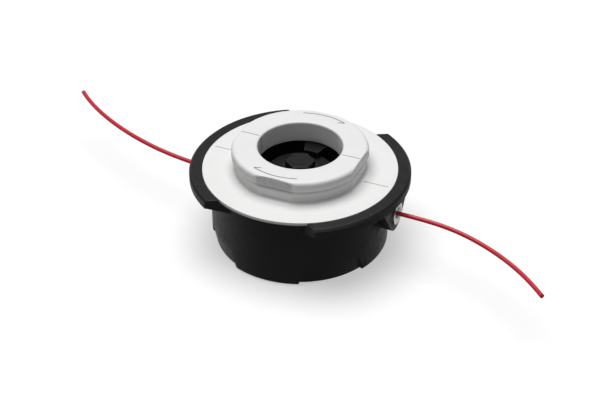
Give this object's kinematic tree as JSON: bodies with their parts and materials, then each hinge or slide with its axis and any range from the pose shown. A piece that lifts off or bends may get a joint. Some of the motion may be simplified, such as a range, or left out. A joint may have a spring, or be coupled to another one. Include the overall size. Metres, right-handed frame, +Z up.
{
  "type": "fixed line trimmer head",
  "caption": "Bowl-shaped line trimmer head with a guard rim, a white hand wheel with four grip flats that lifts and turns to wind the line, and free line tails through metal eyelets.",
  "frame": {"origin": "centre of the bottom face, on the drive axis", "axes": "+Z up the drive axis towards the hand wheel, +X out through the right line eyelet"},
  "size_m": [0.3475, 0.119, 0.0655],
  "materials": {
    "black_nylon": "moulded glass-filled nylon, low sheen",
    "white_plastic": "moulded white plastic, satin",
    "black_steel": "black-finished steel",
    "spring_steel": "bright steel",
    "eyelet_metal": "turned and polished metal",
    "red_line": "extruded red nylon line"
  },
  "bodies": {
    "housing": {"housing": "black_nylon", "hub_nut": "black_steel", "spool_retainer": "black_nylon", "return_spring": "spring_steel", "line_eyelet_right": "eyelet_metal", "line_eyelet_left": "eyelet_metal", "line_lead_right": "red_line", "line_lead_left": "red_line", "line_tail_right": "red_line", "line_tail_left": "red_line"},
    "lift_washer": {"slip_washer": "spring_steel"},
    "spool": {"line_spool": "black_nylon", "winding_wheel": "white_plastic", "wheel_screws": "spring_steel", "line_winding": "red_line"}
  },
  "joints": [
    {"name": "spool_lift", "type": "slide", "parent": "housing", "child": "lift_washer", "axis": [0, 0, 1], "range_m": [0, 0.005], "stiffness_N_per_m": 3000, "springref_m": -0.006, "deforming": ["return_spring"]},
    {"name": "spool_turn", "type": "hinge", "parent": "lift_washer", "child": "spool", "pos_m": [0, 0, 0.03], "axis": [0, 0, 1], "continuous": true}
  ]
}
